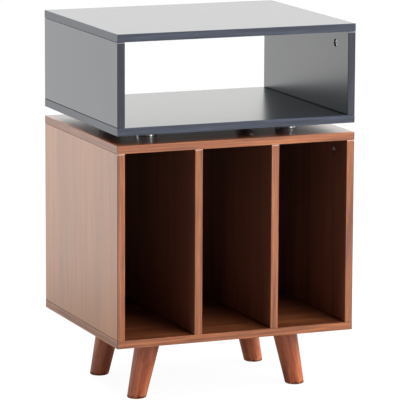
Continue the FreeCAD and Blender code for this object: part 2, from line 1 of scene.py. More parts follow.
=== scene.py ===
"""Hi-fi stand: a walnut-print cabinet on splayed beech legs, under a graphite shelf box on chrome spacers.

Metres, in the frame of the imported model: the floor is z = 0, the open front faces -Y, +X is to the right.
"""

import math

import bpy
import numpy as np
from mathutils import Matrix, Vector


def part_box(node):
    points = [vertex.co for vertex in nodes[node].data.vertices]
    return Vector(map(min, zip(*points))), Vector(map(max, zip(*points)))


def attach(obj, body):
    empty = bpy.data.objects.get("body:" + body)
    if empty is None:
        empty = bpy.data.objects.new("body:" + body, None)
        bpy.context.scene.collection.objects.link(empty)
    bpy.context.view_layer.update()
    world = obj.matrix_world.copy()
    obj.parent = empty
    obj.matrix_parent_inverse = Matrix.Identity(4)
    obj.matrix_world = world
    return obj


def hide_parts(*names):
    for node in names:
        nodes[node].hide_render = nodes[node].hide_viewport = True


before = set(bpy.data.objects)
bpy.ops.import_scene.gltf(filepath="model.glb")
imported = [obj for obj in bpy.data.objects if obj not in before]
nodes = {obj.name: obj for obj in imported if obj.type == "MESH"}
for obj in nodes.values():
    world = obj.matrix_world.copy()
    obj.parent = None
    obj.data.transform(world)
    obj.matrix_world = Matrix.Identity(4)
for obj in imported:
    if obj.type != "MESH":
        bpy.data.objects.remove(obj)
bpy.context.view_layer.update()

MM = 0.001
PLACES = ("front_left", "front_right", "back_left", "back_right")

# Camera, at the photograph's place
CAMERA_PLACE = Vector((-2.2732, -5.5879, 1.4520))
CAMERA_YAW = math.radians(22.191)
CAMERA_PITCH = math.radians(-10.312)
CAMERA_ROLL = math.radians(0.249)
CAMERA_LENS_MM = 285.5
CAMERA_SENSOR_MM = 36.0
CAMERA_SIGHT = 200.0

# Room round the stand. A level of 1 is white. A pair gives the two values of a ray's direction, along X or Y,
# between which one side of the room turns into the next
FRONT_LEVEL = 0.03
RIGHT_LEVEL = 0.28
RIGHT_MIRRORED_LEVEL = 1.0
BACKDROP_LEVEL = 1.10
FRONT_TO_RIGHT = (-0.1, 0.7)
FRONT_TO_BACK = (-0.3, 0.3)
COOL_TO_WARM = (-0.5, 0.5)
COOL_WHITE = "#EFF9FF"
WHITE = "#FFFFFF"
WARM_WHITE = "#FFFFFC"
BETWEEN_GLANCES = 1.5
SECOND_GLANCE_SHARE = 0.2

# Floor. A reach is the two distances from the stand's middle between which something fades
FLOOR_SIZE = 60.0
FLOOR_WHITE = 1.12
FLOOR_SEEN_SHARE = 0.85
FLOOR_MIRRORED_SHARE = 0.9
FLOOR_MIRRORED_REACH = (1.2, 2.7)
# In reflections the floor is painted darker within this reach of the stand, as a painted shadow
FLOOR_SHADED_REACH = (0.5, 1.5)
FLOOR_BOUNCE_LOSS = 0.4
FLOOR_SHADE = "#B8B8B8"
FLOOR_DULL_SHADE = "#8A8A8A"

# Lamps, aimed at a height over the stand's middle. Azimuths turn from the front to the right, in degrees. At
# a level of 1, a face square to the lamp is as bright as its colour is written. A lamp that isn't mirrored is
# left out of glossy faces, which it would turn white in the views from behind and above
LAMP_DISTANCE = 4.0
LAMPS = {
    "key": dict(azimuth=31, elevation=27, size=(3.0, 2.0), level=0.88, aim=0.35, mirrored=False),
    "high": dict(azimuth=25, elevation=60, size=(2.0, 2.0), level=0.3, aim=0.35, mirrored=False),
    "low": dict(azimuth=74, elevation=23, size=(3.0, 1.4), level=0.52, aim=0.35, mirrored=True),
    "right_strip": dict(azimuth=35, elevation=7.5, size=(1.2, 0.35), level=0.06, aim=0.5, mirrored=True),
    "left_strip": dict(azimuth=-118, elevation=8, size=(2.0, 0.35), level=0.04, aim=0.5, mirrored=True),
    "side": dict(azimuth=-100, elevation=66, size=(1.6, 1.4), level=1.0, aim=0.35, mirrored=False),
}

# Turned pieces
LEG_FOOT_DIAMETER = 36 * MM
LEG_SEAT_DROP = 10 * MM
LEG_TOP_ROUND = 1.2 * MM
LEG_FOOT_ROUND = 3 * MM
LEG_ROWS = 24
LEG_END_SHARE = 0.02
SPACER_BORE = 5.2 * MM
SPACER_ARRIS = 0.8 * MM
SPACER_TAPER = 0.6 * MM
PAD_ARRIS = 0.5 * MM
COLUMNS = 144
ROUND_ROWS = 7

# Painted shade and highlight lines on boards and strips
CABINET_JOINT = 0.8 * MM
SHELF_JOINT = 0.9 * MM
CORNER_SHADE_WIDTH = 1.6 * MM
END_HIGHLIGHT_HEIGHT = 1.6 * MM
ARRIS_SHADE_WIDTH = 1.4 * MM
# Painted shade in joints and along arrises, and painted highlights at the top ends of upright strips
JOINT_SHADE = "#0D0B0A"
WALNUT_CORNER_SHADE = "#5A3322"
WALNUT_END_HIGHLIGHT = "#D4AE95"
GRAPHITE_ARRIS_SHADE = "#0C0D10"
GRAPHITE_END_HIGHLIGHT = "#7C7E84"

# Finishes. Tones are sRGB colours at places along a pattern
BOARD_ROUGHNESS = 0.3
JOINT_SHADE_ROUGHNESS = 0.9
CHROME = "#D9DADC"
CHROME_ROUGHNESS = (0.18, 0.26)
BOARD_TONES = [(0.34, "#491F13"), (0.46, "#713D25"), (0.54, "#864D30"), (0.66, "#A1653E")]
# The faces in the bays take darker tones as painted shade, and the outer upright faces lighter ones as
# painted light
SHADED_BAY_TONES = [(0.34, "#43231E"), (0.46, "#6D4230"), (0.54, "#7B4C39"), (0.66, "#925E48")]
LIT_OUTER_TONES = [(0.30, "#7C4A27"), (0.45, "#9B6131"), (0.56, "#A86937"), (0.70, "#B97C42")]
EDGING_TONES = [(0.36, "#693418"), (0.46, "#884A24"), (0.54, "#99552B"), (0.64, "#B46B39")]
END_TONES = [(0.36, "#623217"), (0.46, "#7F4821"), (0.54, "#8F5228"), (0.64, "#A86836")]
GRAPHITE_TONES = [(0.3, "#1C2029"), (0.7, "#282D36")]
GRAPHITE_EDGING_TONES = [(0.36, "#202534"), (0.50, "#2D3341"), (0.64, "#3D4457")]
GRAPHITE_END_TONES = [(0.3, "#2C3139"), (0.7, "#3D424C")]
GRAPHITE_UPRIGHT_TONES = [(0.36, "#181B25"), (0.50, "#202430"), (0.64, "#2C323F")]
BARE_FIBRE_TONES = [(0.3, "#6B4C33"), (0.7, "#8E6B4A")]
STAINED_BEECH_TONES = [(0.34, "#8F4129"), (0.47, "#B15A38"), (0.55, "#C77047"), (0.67, "#D68353")]
PLAIN_BEECH_TONES = [(0.3, "#B89468"), (0.7, "#D3B58A")]
CAST_ZINC_TONES = [(0.3, "#D2D3D4"), (0.7, "#E4E5E5")]
PLATED_STEEL_TONES = [(0.3, "#A5A294"), (0.7, "#C9C7BC")]
POWDER_COAT_TONES = [(0.3, "#18191A"), (0.7, "#232425")]
RUBBER_TONES = [(0.3, "#151515"), (0.7, "#262626")]

# Sockets of a Mix node, by number, because their names repeat
NUMBER_A = 2
NUMBER_B = 3
COLOUR_A = 6
COLOUR_B = 7
COLOUR_RESULT = 2


# Meshes


def grid_mesh(name, points, close_rows=False, caps=False):
    """A surface through a grid of points, closed round its columns.

    With close_rows the last row joins the first, as on a tube's wall. With caps the first and last rows are
    single points, each met by a fan of triangles.
    """
    rows, columns = points.shape[:2]
    index = np.arange(rows * columns).reshape(rows, columns)
    if caps:
        index[0] = index[0, 0]
        index[-1] = index[-1, 0]
    if close_rows:
        index = np.vstack([index, index[:1]])
    here = index[:-1]
    below = index[1:]
    faces = np.stack([here, below, np.roll(below, -1, axis=1), np.roll(here, -1, axis=1)], axis=-1)
    polygons = [list(dict.fromkeys(face)) for face in faces.reshape(-1, 4).tolist()]
    mesh = bpy.data.meshes.new(name)
    mesh.from_pydata(points.reshape(-1, 3).tolist(), [], polygons)
    mesh.validate()
    mesh.shade_smooth()
    piece = bpy.data.objects.new(name, mesh)
    bpy.context.scene.collection.objects.link(piece)
    return piece


def corner(point, back, ahead, radius):
    """A rounded corner: a parabola that leaves one line and joins the next, tangent to both.

    Back and ahead are unit directions away from the corner along the two lines.
    """
    share = np.linspace(0, 1, ROUND_ROWS)[:, None, None]
    return point + back * radius * (1 - share) ** 2 + ahead * radius * share ** 2


def unit(vectors):
    """The vectors at length one."""
    return vectors / np.linalg.norm(vectors, axis=-1, keepdims=True)


def turned_leg(place):
    """A tapered leg, cut level at the foot.

    Straight lines run down from a circle square to the leg's axis, and end where they meet the pad's level.
    Both rims are rounded. A fan closes each end, inside a ring twice the round's size in from the rim.
    """
    node = f"leg_{place}"
    low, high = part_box(node)
    plate_low, plate_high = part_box(f"leg_plate_{place}")
    pad_low, pad_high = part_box(f"foot_pad_{place}")
    top = np.array([(plate_low.x + plate_high.x) / 2, (plate_low.y + plate_high.y) / 2, plate_high.z])
    foot = np.array([(pad_low.x + pad_high.x) / 2, (pad_low.y + pad_high.y) / 2, pad_high.z])
    axis = unit(foot - top)
    reach = np.linalg.norm(foot - top)
    across = np.array([0.0, 1.0, 0.0])
    sideways = np.cross(axis, across)

    turn = np.linspace(0, 2 * np.pi, COLUMNS, endpoint=False)
    outwards = np.cos(turn)[:, None] * sideways + np.sin(turn)[:, None] * across
    rim = top + axis * LEG_SEAT_DROP + outwards * (high.y - low.y) / 2
    tip = top + axis * reach + outwards * LEG_FOOT_DIAMETER / 2
    down = unit(tip - rim)
    sole = rim + down * ((foot[2] - rim[:, 2:]) / down[:, 2:])

    share = np.linspace(LEG_END_SHARE, 1 - LEG_END_SHARE, LEG_ROWS)[:, None, None]
    rows = np.concatenate([
        np.broadcast_to(top + axis * LEG_SEAT_DROP, (1, COLUMNS, 3)),
        (rim - outwards * 2 * LEG_TOP_ROUND)[None],
        corner(rim, -outwards, down, LEG_TOP_ROUND),
        rim + (sole - rim) * share,
        corner(sole, -down, unit(foot - sole), LEG_FOOT_ROUND),
        (sole + unit(foot - sole) * 2 * LEG_FOOT_ROUND)[None],
        np.broadcast_to(foot, (1, COLUMNS, 3)),
    ])
    piece = grid_mesh(f"turned_{node}", rows, caps=True)

    # The grain runs down the leg's own axis, and each leg is cut from another part of the plank
    own = np.stack([(rows - top) @ sideways, (rows - top) @ across, (rows - top) @ axis], axis=-1)
    plank = piece.data.attributes.new("plank", "FLOAT_VECTOR", "POINT")
    plank.data.foreach_set("vector", (own + top[:2].sum()).ravel())
    return finish_piece(piece, node)


def turned_ring(node, name, inner, arris, taper=0.0):
    """A round tube or disc round an upright axis.

    The profile is a rectangle from the inner to the outer radius with its outer corners rounded, carried
    round the axis of the node's box. An inner radius of zero closes it as a disc. The taper is taken off the
    outer radius at the top. Points two or three arrises from each corner keep the faces between them flat.
    """
    low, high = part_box(node)
    centre = np.array([(low.x + high.x) / 2, (low.y + high.y) / 2])
    outer = (high.x - low.x) / 2
    out = np.array([1.0, 0.0])
    bottom = np.array([outer, low.z])
    upper = np.array([outer - taper, high.z])
    side = unit(upper - bottom)
    profile = np.concatenate([
        [[inner, low.z], [outer - 3 * arris, low.z]],
        corner(bottom, -out, side, arris).reshape(-1, 2),
        [bottom + side * 2 * arris, upper - side * 2 * arris],
        corner(upper, -side, -out, arris).reshape(-1, 2),
        [[outer - taper - 3 * arris, high.z], [inner, high.z]],
    ])
    turn = np.linspace(0, 2 * np.pi, COLUMNS, endpoint=False)
    x = centre[0] + profile[:, :1] * np.cos(-turn)
    y = centre[1] + profile[:, :1] * np.sin(-turn)
    z = np.broadcast_to(profile[:, 1:], x.shape)
    piece = grid_mesh(name, np.stack([x, y, z], axis=-1), close_rows=inner > 0, caps=inner == 0)
    return finish_piece(piece, node)


def finish_piece(piece, node):
    """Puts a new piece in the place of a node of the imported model."""
    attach(piece, "root")
    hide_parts(node)
    return piece


# Nodes and patterns


def linear(colour):
    """An sRGB hex colour as linear red, green, blue and alpha."""
    parts = [int(colour[k:k + 2], 16) / 255 for k in (1, 3, 5)]
    return [c / 12.92 if c <= 0.04045 else ((c + 0.055) / 1.055) ** 2.4 for c in parts] + [1.0]


def add(tree, kind, inputs=None, **settings):
    """Adds a node to a tree. Inputs are plain values, or outputs of other nodes, which are linked."""
    new = tree.nodes.new(kind)
    for name, value in settings.items():
        setattr(new, name, value)
    for name, value in (inputs or {}).items():
        if isinstance(value, bpy.types.NodeSocket):
            tree.links.new(value, new.inputs[name])
        else:
            new.inputs[name].default_value = value
    return new


def surface(name, **values):
    """A material with a Principled shader, whose sockets are set by name."""
    material = bpy.data.materials.new(name)
    material.use_nodes = True
    shader = material.node_tree.nodes["Principled BSDF"]
    for socket, value in values.items():
        shader.inputs[socket.replace("_", " ")].default_value = value
    return material, material.node_tree, shader


def streaks(tree, coordinates, grain, width, length, detail=2.0):
    """Noise drawn out along the grain, in streaks of that width and length."""
    scale = [1 / width] * 3
    scale["XYZ".index(grain)] = 1 / length
    place = add(tree, "ShaderNodeMapping", {"Vector": coordinates, "Scale": scale})
    noise = add(tree, "ShaderNodeTexNoise",
                {"Vector": place.outputs["Vector"], "Scale": 1.0, "Detail": detail})
    return noise.outputs["Fac"]


def wander(tree, coordinates, span, amount):
    """Coordinates pushed about by slow noise, less its mean of one half, so that straight lines drift."""
    noise = add(tree, "ShaderNodeTexNoise", {"Vector": coordinates, "Scale": 1 / span, "Detail": 1.0})
    centred = add(tree, "ShaderNodeVectorMath", {0: noise.outputs["Color"], 1: (0.5, 0.5, 0.5)},
                  operation="SUBTRACT")
    push = add(tree, "ShaderNodeVectorMath", {0: centred.outputs[0], "Scale": amount}, operation="SCALE")
    return add(tree, "ShaderNodeVectorMath", {0: coordinates, 1: push.outputs[0]}).outputs[0]


def weigh(tree, parts):
    """The sum of several factors, each times its weight."""
    total = None
    for factor, weight in parts:
        if total is None:
            total = add(tree, "ShaderNodeMath", {0: factor, 1: weight}, operation="MULTIPLY").outputs[0]
        else:
            inputs = {0: factor, 1: weight, 2: total}
            total = add(tree, "ShaderNodeMath", inputs, operation="MULTIPLY_ADD").outputs[0]
    return total


def ramp(tree, factor, tones):
    """Colours at places along a factor, as (place, sRGB hex)."""
    new = add(tree, "ShaderNodeValToRGB", {"Fac": factor})
    elements = new.color_ramp.elements
    while len(elements) < len(tones):
        elements.new(0.5)
    for element, (place, colour) in zip(elements, tones):
        element.position = place
        element.color = linear(colour)
    return new.outputs["Color"]


def near(tree, value, centre, reach):
    """One where a value lies within a reach of a centre, and zero elsewhere."""
    return add(tree, "ShaderNodeMath", {0: value, 1: centre, 2: reach}, operation="COMPARE").outputs[0]


def aside(tree, place):
    """The distance from the stand's middle plane."""
    across = add(tree, "ShaderNodeSeparateXYZ", {0: place}).outputs["X"]
    return add(tree, "ShaderNodeMath", {0: across}, operation="ABSOLUTE").outputs[0]


def blend_colours(tree, share, one, other):
    """The first colour where the share is zero, the second where it is one. Either may be an sRGB hex."""
    one, other = [linear(colour) if isinstance(colour, str) else colour for colour in (one, other)]
    inputs = {0: share, COLOUR_A: one, COLOUR_B: other}
    return add(tree, "ShaderNodeMix", inputs, data_type="RGBA").outputs[COLOUR_RESULT]


def relief(tree, shader, height, depth):
    """Bump on a shader, with the relief's real depth."""
    bump = add(tree, "ShaderNodeBump", {"Height": height, "Distance": depth})
    tree.links.new(bump.outputs["Normal"], shader.inputs["Normal"])


def painted_joint_shade(tree, shader, colour, joint):
    """A board's colour with painted shade along a joint: dark and without its gloss, as the joint's shadow
    gap would be.
    """
    tree.links.new(blend_colours(tree, joint, colour, JOINT_SHADE), shader.inputs["Base Color"])
    gloss = add(tree, "ShaderNodeMapRange", {"Value": joint, "To Min": 1.0, "To Max": 0.0}).outputs[0]
    tree.links.new(gloss, shader.inputs["Coat Weight"])
    rough = add(tree, "ShaderNodeMapRange",
                {"Value": joint, "To Min": BOARD_ROUGHNESS, "To Max": JOINT_SHADE_ROUGHNESS}).outputs[0]
    tree.links.new(rough, shader.inputs["Roughness"])


def walnut_print(tree, coordinates, grain, tones):
    """The colour of printed walnut paper, its fibres, and the factor that the colour follows.

    Broad bands of 45 mm, streaks of 9 mm and fibres of 1.6 mm run along the grain and drift a little. Real
    fibres are about 0.4 mm wide: they are drawn coarser so that they show.
    """
    drifted = wander(tree, coordinates, span=140 * MM, amount=9 * MM)
    bands = streaks(tree, drifted, grain, width=45 * MM, length=700 * MM)
    lines = streaks(tree, drifted, grain, width=9 * MM, length=260 * MM, detail=3.0)
    fibres = streaks(tree, drifted, grain, width=1.6 * MM, length=60 * MM, detail=3.0)
    factor = weigh(tree, [(bands, 0.45), (lines, 0.35), (fibres, 0.20)])
    return ramp(tree, factor, tones), fibres, factor


def strip_streaks(tree, coordinates, grain):
    """The factor that an edging strip's colour follows, and its fibres.

    Streaks of 5 mm and fibres of 1.5 mm run along the strip. The fibres are drawn coarser than real ones, so
    that they show.
    """
    drifted = wander(tree, coordinates, span=120 * MM, amount=3 * MM)
    lines = streaks(tree, drifted, grain, width=5 * MM, length=220 * MM)
    fibres = streaks(tree, drifted, grain, width=1.5 * MM, length=50 * MM, detail=3.0)
    return weigh(tree, [(lines, 0.62), (fibres, 0.38)]), fibres


def painted_end_highlight(tree, place, colour, node, pale):
    """An upright strip's colour with a painted highlight in the last 1.6 mm at its top, as if its end caught
    the light.
    """
    height = add(tree, "ShaderNodeSeparateXYZ", {0: place}).outputs["Z"]
    return blend_colours(tree, near(tree, height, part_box(node)[1].z, END_HIGHLIGHT_HEIGHT), colour, pale)


# Materials


def walnut_level():
    """Level boards of melamine-faced particle board with a walnut print, pressed satin.

    Brown streaks run from side to side, under clear resin that mirrors softly at a low angle.
    """
    material, tree, shader = surface("walnut_melamine_level", Roughness=BOARD_ROUGHNESS, IOR=1.6,
                                     Coat_Weight=1.0, Coat_Roughness=0.25, Coat_IOR=1.62)
    place = add(tree, "ShaderNodeTexCoord").outputs["Object"]
    colour, fibres, _ = walnut_print(tree, place, "X", BOARD_TONES)
    tree.links.new(colour, shader.inputs["Base Color"])
    relief(tree, shader, fibres, depth=0.03 * MM)
    return material


def walnut_upright():
    """Upright boards of the same melamine-faced board, with the print running up them.

    Warm brown streaks, and a pale sheen at a low angle from the clear resin over the print. The faces in the
    bays take darker tones as painted shade, the outer faces lighter ones as painted light. A painted shadow
    line runs along the foot of each board, dark and without gloss, where the joint's shadow gap falls.
    """
    material, tree, shader = surface("walnut_melamine_upright", IOR=1.6, Coat_Roughness=0.25, Coat_IOR=1.55)
    place = add(tree, "ShaderNodeTexCoord").outputs["Object"]
    # Painted shade and light: the darker tones on the faces in the bays, the lighter ones on the outer faces
    inner, fibres, factor = walnut_print(tree, place, "Z", SHADED_BAY_TONES)
    outer = ramp(tree, factor, LIT_OUTER_TONES)
    low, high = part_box("cabinet_right_side")
    beyond = {0: aside(tree, place), 1: (low.x + high.x) / 2}
    outside = add(tree, "ShaderNodeMath", beyond, operation="GREATER_THAN").outputs[0]
    height = add(tree, "ShaderNodeSeparateXYZ", {0: place}).outputs["Z"]
    # Painted shadow line along the foot of each board, at the joint
    joint = near(tree, height, low.z + CABINET_JOINT / 2, CABINET_JOINT / 2)
    painted_joint_shade(tree, shader, blend_colours(tree, outside, inner, outer), joint)
    relief(tree, shader, fibres, depth=0.03 * MM)
    return material


def walnut_edging(grain, top_of=None):
    """ABS edging strip with a walnut print under clear lacquer, which gives it a soft sheen.

    The long and the upright strips have a painted shade line along the stand's outer corner arrises, and the
    upright ones carry a painted highlight at the top end.
    """
    material, tree, shader = surface(f"walnut_edging_{grain.lower()}", Roughness=BOARD_ROUGHNESS, IOR=1.6,
                                     Coat_Weight=0.6, Coat_Roughness=0.30, Coat_IOR=1.55)
    place = add(tree, "ShaderNodeTexCoord").outputs["Object"]
    factor, fibres = strip_streaks(tree, place, grain)
    colour = ramp(tree, factor, END_TONES if grain == "Y" else EDGING_TONES)
    if grain != "Y":
        # Painted shade along the rounded outer corner arris
        corner_shade = near(tree, aside(tree, place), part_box("cabinet_right_side")[1].x, CORNER_SHADE_WIDTH)
        colour = blend_colours(tree, corner_shade, colour, WALNUT_CORNER_SHADE)
    if top_of:
        # Painted highlight at the top end of the upright strips
        colour = painted_end_highlight(tree, place, colour, top_of, WALNUT_END_HIGHLIGHT)
    tree.links.new(colour, shader.inputs["Base Color"])
    relief(tree, shader, fibres, depth=0.03 * MM)
    return material


def graphite_melamine():
    """Melamine-faced particle board, plain graphite with a fine pearl press.

    It is dark in front and pale at a low angle, with faint clouds of 90 mm. The pearl is 1.2 mm, and drawn
    coarser than the real one so that it shows. A painted shadow line, dark and without gloss, runs along the
    foot of each upright board, where the joint's shadow gap falls.
    """
    material, tree, shader = surface("graphite_melamine", IOR=1.6, Coat_Roughness=0.26, Coat_IOR=1.72)
    place = add(tree, "ShaderNodeTexCoord").outputs["Object"]
    pearl = add(tree, "ShaderNodeTexNoise",
                {"Vector": place, "Scale": 1 / (1.2 * MM), "Detail": 2.0}).outputs["Fac"]
    cloud = add(tree, "ShaderNodeTexNoise",
                {"Vector": place, "Scale": 1 / (90 * MM), "Detail": 2.0}).outputs["Fac"]
    tone = weigh(tree, [(pearl, 0.4), (cloud, 0.6)])
    height = add(tree, "ShaderNodeSeparateXYZ", {0: place}).outputs["Z"]
    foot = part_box("shelf_right_side")[0].z
    # Painted shadow line along the foot of each upright board, at the joint
    joint = near(tree, height, foot + SHELF_JOINT / 2, SHELF_JOINT / 2)
    painted_joint_shade(tree, shader, ramp(tree, tone, GRAPHITE_TONES), joint)
    relief(tree, shader, pearl, depth=0.02 * MM)
    return material


def graphite_edging(grain, top_of=None):
    """ABS edging strip, graphite with fine blue-grey streaks under clear lacquer.

    The strips on the short ends have more of a sheen. The upright ones have painted shade along the inner
    arris, and a painted highlight at the top end.
    """
    lacquer = 0.6 if grain == "Y" else 0.42
    material, tree, shader = surface(f"graphite_edging_{grain.lower()}", Roughness=0.4, IOR=1.5,
                                     Coat_Weight=lacquer, Coat_Roughness=0.25, Coat_IOR=1.5)
    place = add(tree, "ShaderNodeTexCoord").outputs["Object"]
    factor, fibres = strip_streaks(tree, place, grain)
    tones = {"X": GRAPHITE_EDGING_TONES, "Y": GRAPHITE_END_TONES, "Z": GRAPHITE_UPRIGHT_TONES}
    colour = ramp(tree, factor, tones[grain])
    if top_of:
        # Painted shade along the inner arris of the upright strips
        arris = near(tree, aside(tree, place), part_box("shelf_right_edging")[0].x, ARRIS_SHADE_WIDTH)
        colour = blend_colours(tree, arris, colour, GRAPHITE_ARRIS_SHADE)
        # Painted highlight at the top end of the upright strips
        colour = painted_end_highlight(tree, place, colour, top_of, GRAPHITE_END_HIGHLIGHT)
    tree.links.new(colour, shader.inputs["Base Color"])
    relief(tree, shader, fibres, depth=0.02 * MM)
    return material


def fibreboard():
    """Thin pressed fibreboard: a walnut foil on the face that shows in the bays, bare brown fibres behind.

    The flecks of bare fibre are 2.5 mm, drawn coarser than real ones so that they show.
    """
    material, tree, shader = surface("foiled_fibreboard", Roughness=0.5, IOR=1.5)
    place = add(tree, "ShaderNodeTexCoord").outputs["Object"]
    # Painted shade: the foil takes the darker tones of the faces in the bays
    foil, _, _ = walnut_print(tree, place, "Z", SHADED_BAY_TONES)
    fleck = add(tree, "ShaderNodeTexNoise",
                {"Vector": place, "Scale": 1 / (2.5 * MM), "Detail": 4.0}).outputs["Fac"]
    bare = ramp(tree, fleck, BARE_FIBRE_TONES)
    low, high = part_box("back_panel")
    depth = add(tree, "ShaderNodeSeparateXYZ", {0: place}).outputs["Y"]
    beyond = {0: depth, 1: (low.y + high.y) / 2}
    behind = add(tree, "ShaderNodeMath", beyond, operation="GREATER_THAN").outputs[0]
    tree.links.new(blend_colours(tree, behind, foil, bare), shader.inputs["Base Color"])
    relief(tree, shader, fleck, depth=0.03 * MM)
    return material


def stained_beech():
    """Turned beech, stained red-brown and lacquered satin: dark and orange streaks with short flecks.

    Bands of 12 mm and streaks of 2.5 mm run down the leg. The flecks, 0.9 mm wide and 5 mm long, are drawn
    coarser than real ones so that they show.
    """
    material, tree, shader = surface("stained_beech", Roughness=0.35, IOR=1.45, Coat_Weight=0.5,
                                     Coat_Roughness=0.5, Coat_IOR=1.5)
    place = add(tree, "ShaderNodeAttribute", attribute_name="plank").outputs["Vector"]
    drifted = wander(tree, place, span=60 * MM, amount=6 * MM)
    bands = streaks(tree, drifted, "Z", width=12 * MM, length=160 * MM)
    lines = streaks(tree, drifted, "Z", width=2.5 * MM, length=40 * MM, detail=3.0)
    flecks = streaks(tree, drifted, "Z", width=0.9 * MM, length=5 * MM)
    factor = weigh(tree, [(bands, 0.45), (lines, 0.35), (flecks, 0.20)])
    tree.links.new(ramp(tree, factor, STAINED_BEECH_TONES), shader.inputs["Base Color"])
    relief(tree, shader, lines, depth=0.04 * MM)
    return material


def plain_beech():
    """Bare beech dowels, pale and dull, with fibres of 0.8 mm drawn a little coarser than real ones."""
    material, tree, shader = surface("plain_beech", Roughness=0.6, IOR=1.5)
    place = add(tree, "ShaderNodeTexCoord").outputs["Object"]
    fibres = streaks(tree, place, "Z", width=0.8 * MM, length=12 * MM, detail=3.0)
    tree.links.new(ramp(tree, fibres, PLAIN_BEECH_TONES), shader.inputs["Base Color"])
    relief(tree, shader, fibres, depth=0.05 * MM)
    return material


def satin_chrome():
    """Satin chrome plate on turned steel: soft reflections, a little sharper and duller from mark to mark.

    The turning marks are 0.8 mm apart, drawn coarser than real ones so that they show.
    """
    material, tree, shader = surface("satin_chrome", Base_Color=linear(CHROME), Metallic=1.0)
    place = add(tree, "ShaderNodeTexCoord").outputs["Object"]
    marks = streaks(tree, place, "Z", width=40 * MM, length=0.8 * MM)
    wear = add(tree, "ShaderNodeMapRange",
               {"Value": marks, "To Min": CHROME_ROUGHNESS[0], "To Max": CHROME_ROUGHNESS[1]}).outputs[0]
    tree.links.new(wear, shader.inputs["Roughness"])
    return material


def cast_zinc():
    """Die-cast zinc, tumbled bright: sharp small glints on a faintly pebbled skin of 0.7 mm."""
    material, tree, shader = surface("cast_zinc", Metallic=1.0, Roughness=0.1)
    place = add(tree, "ShaderNodeTexCoord").outputs["Object"]
    skin = add(tree, "ShaderNodeTexNoise",
               {"Vector": place, "Scale": 1 / (0.7 * MM), "Detail": 3.0}).outputs["Fac"]
    tree.links.new(ramp(tree, skin, CAST_ZINC_TONES), shader.inputs["Base Color"])
    relief(tree, shader, skin, depth=0.003 * MM)
    return material


def plated_steel():
    """Zinc-plated rolled steel: bright screws and bolts with a faint yellow cast and marks of 0.5 mm."""
    material, tree, shader = surface("plated_steel", Metallic=1.0, Roughness=0.3)
    place = add(tree, "ShaderNodeTexCoord").outputs["Object"]
    marks = add(tree, "ShaderNodeTexNoise",
                {"Vector": place, "Scale": 1 / (0.5 * MM), "Detail": 3.0}).outputs["Fac"]
    tree.links.new(ramp(tree, marks, PLATED_STEEL_TONES), shader.inputs["Base Color"])
    relief(tree, shader, marks, depth=0.02 * MM)
    return material


def powder_coat():
    """Black powder coat on pressed steel: half matt, with an orange-peel skin of 0.9 mm."""
    material, tree, shader = surface("powder_coat", Roughness=0.45, IOR=1.5)
    place = add(tree, "ShaderNodeTexCoord").outputs["Object"]
    peel = add(tree, "ShaderNodeTexNoise",
               {"Vector": place, "Scale": 1 / (0.9 * MM), "Detail": 2.0}).outputs["Fac"]
    tree.links.new(ramp(tree, peel, POWDER_COAT_TONES), shader.inputs["Base Color"])
    relief(tree, shader, peel, depth=0.05 * MM)
    return material


def moulded_rubber():
    """Black moulded rubber: matt, with a tooth of 0.8 mm drawn coarser than the real one so that it shows."""
    material, tree, shader = surface("moulded_rubber", Roughness=0.8, IOR=1.5)
    place = add(tree, "ShaderNodeTexCoord").outputs["Object"]
    tooth = add(tree, "ShaderNodeTexNoise",
                {"Vector": place, "Scale": 1 / (0.8 * MM), "Detail": 2.0}).outputs["Fac"]
    tree.links.new(ramp(tree, tooth, RUBBER_TONES), shader.inputs["Base Color"])
    relief(tree, shader, tooth, depth=0.08 * MM)
    return material


# The stand, piece by piece


def dress(material, *names):
    """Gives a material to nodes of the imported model."""
    for name in names:
        nodes[name].material_slots[0].material = material


def dress_boards():
    """Boards, each with the grain along its length or height."""
    dress(walnut_upright(), "cabinet_left_side", "cabinet_right_side", "left_divider", "right_divider")
    dress(walnut_level(), "cabinet_top_panel", "cabinet_bottom_panel")
    dress(graphite_melamine(), "shelf_left_side", "shelf_right_side", "shelf_top_panel", "shelf_bottom_panel")
    dress(fibreboard(), "back_panel")


def dress_edging():
    """Edging strips, each with the grain along it."""
    dress(walnut_edging("Z", top_of="cabinet_left_edging"), "cabinet_left_edging", "cabinet_right_edging",
          "left_divider_edging", "right_divider_edging")
    dress(walnut_edging("X"), "cabinet_top_long_edging", "cabinet_bottom_long_edging")
    dress(walnut_edging("Y"), "cabinet_top_end_edging", "cabinet_bottom_end_edging")
    dress(graphite_edging("Z", top_of="shelf_left_edging"), "shelf_left_edging", "shelf_right_edging")
    dress(graphite_edging("X"), "shelf_top_long_edging", "shelf_bottom_long_edging")
    dress(graphite_edging("Y"), "shelf_top_end_edging", "shelf_bottom_end_edging")


def dress_fasteners():
    """Cams, screws, bolts, dowels and plates."""
    dress(cast_zinc(), "shelf_cams", "cabinet_cams")
    dress(plated_steel(), "shelf_cam_bolts", "cabinet_cam_bolts", "shelf_screws", "cabinet_screws",
          "spacer_screws", "leg_bolts", "leg_plate_screws")
    dress(plain_beech(), "shelf_dowels", "cabinet_dowels")
    dress(powder_coat(), *[f"leg_plate_{place}" for place in PLACES])


def make_turned_pieces():
    """Legs, chrome spacers and rubber pads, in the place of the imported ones."""
    beech = stained_beech()
    chrome = satin_chrome()
    rubber = moulded_rubber()
    for place in PLACES:
        leg = turned_leg(place)
        leg.data.materials.append(beech)
        spacer = turned_ring(f"spacer_{place}", f"chrome_spacer_{place}",
                             inner=SPACER_BORE / 2, arris=SPACER_ARRIS, taper=SPACER_TAPER)
        spacer.data.materials.append(chrome)
        pad = turned_ring(f"foot_pad_{place}", f"rubber_pad_{place}",
                          inner=0.0, arris=PAD_ARRIS)
        pad.data.materials.append(rubber)


# Studio


